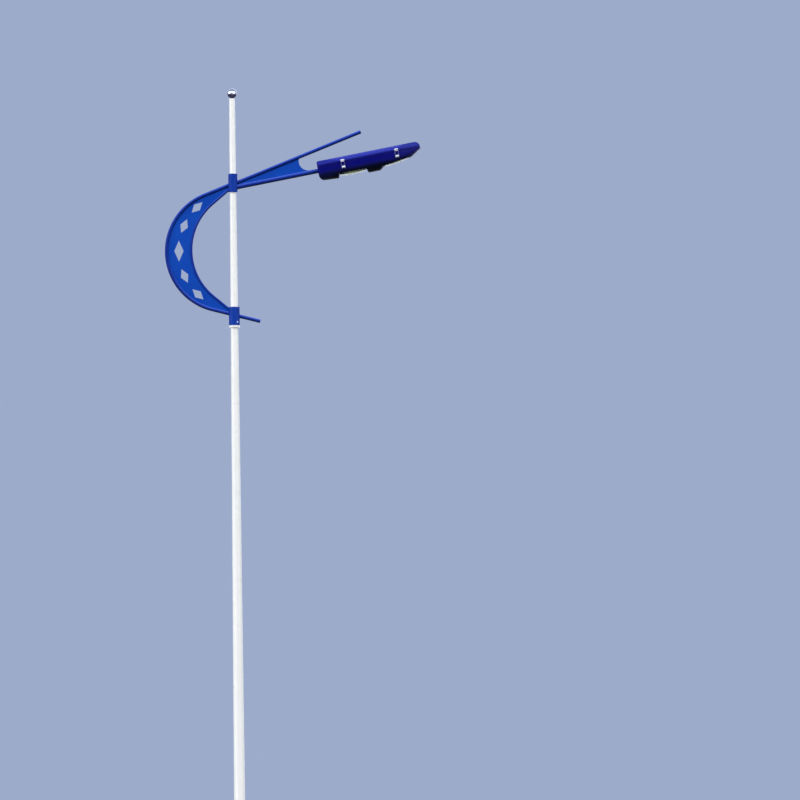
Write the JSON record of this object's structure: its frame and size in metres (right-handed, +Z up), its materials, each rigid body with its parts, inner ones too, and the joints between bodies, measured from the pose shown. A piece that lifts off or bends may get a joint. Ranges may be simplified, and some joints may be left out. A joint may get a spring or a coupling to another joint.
{
  "type": "street light",
  "caption": "Tall tapered column with a ball finial, a pierced crescent bracket between two collars, a free spar and a twin-lens luminaire with a hinged cover.",
  "frame": {"origin": "centre of the base plate's underside, on the column's axis", "axes": "+Z up the column, +X towards the road along the arm, +Y along the road"},
  "size_m": [2.6801, 0.378, 9],
  "materials": {
    "column_paint": "gloss white paint",
    "polished_ball": "polished stainless ball",
    "collar_paint": "gloss blue paint",
    "bracket_paint": "gloss cobalt blue paint",
    "luminaire_paint": "gloss ultramarine paint",
    "stainless": "stamped stainless sheet and wire",
    "frame_metal": "painted frame",
    "seal_rubber": "black foam seal",
    "lens_glass": "clear tempered glass",
    "bright_aluminium": "bright anodised",
    "lamp_glass": "clear tube",
    "white_ceramic": "white porcelain",
    "cast_clamp": "as cast",
    "gear_steel": "varnished laminations",
    "gear_can": "moulded can"
  },
  "bodies": {
    "column": {"base_plate": "column_paint", "base_gussets": "column_paint", "pole_shaft": "column_paint", "door_frame": "column_paint", "service_door": "column_paint", "pole_cap": "column_paint", "support_ring": "column_paint", "finial_ball": "polished_ball", "upper_collar": "collar_paint", "lower_collar": "collar_paint", "spar_tube": "bracket_paint", "spar_end_cap": "bracket_paint", "arm_tube": "bracket_paint", "arm_web": "bracket_paint", "crescent_plate": "bracket_paint", "crescent_outer_rim": "bracket_paint", "crescent_inner_rim": "bracket_paint", "tail_stub": "bracket_paint", "tail_end_cap": "bracket_paint", "luminaire_tray": "luminaire_paint", "hinge_brackets": "luminaire_paint", "rear_latch_base": "stainless", "front_latch_base": "stainless", "rear_lens_frame": "frame_metal", "front_lens_frame": "frame_metal", "seam_gasket": "seal_rubber", "rear_lens": "lens_glass", "front_lens": "lens_glass", "rear_reflector": "bright_aluminium", "front_reflector": "bright_aluminium", "rear_lamp": "lamp_glass", "front_lamp": "lamp_glass", "rear_lampholder": "white_ceramic", "front_lampholder": "white_ceramic", "spigot_clamp": "cast_clamp", "ballasts": "gear_steel", "ignitors": "gear_can"},
    "cover": {"luminaire_cover": "luminaire_paint", "cover_hinge_leaves": "luminaire_paint", "latch_keepers": "stainless"},
    "rear_latch": {"rear_latch_lever": "stainless", "rear_latch_bail": "stainless"},
    "front_latch": {"front_latch_lever": "stainless", "front_latch_bail": "stainless"}
  },
  "joints": [
    {"name": "cover_hinge", "type": "hinge", "parent": "column", "child": "cover", "pos_m": [1.17358, 0.179, 8.21824], "axis": [-0.9829, 0, -0.184], "range_deg": [0, 24]},
    {"name": "rear_latch_pivot", "type": "hinge", "parent": "column", "child": "rear_latch", "pos_m": [1.16741, -0.183, 8.1479], "axis": [0.9829, 0, 0.184], "range_deg": [0, 140]},
    {"name": "front_latch_pivot", "type": "hinge", "parent": "column", "child": "front_latch", "pos_m": [1.72867, -0.183, 8.25294], "axis": [0.9829, 0, 0.184], "range_deg": [0, 140]}
  ]
}
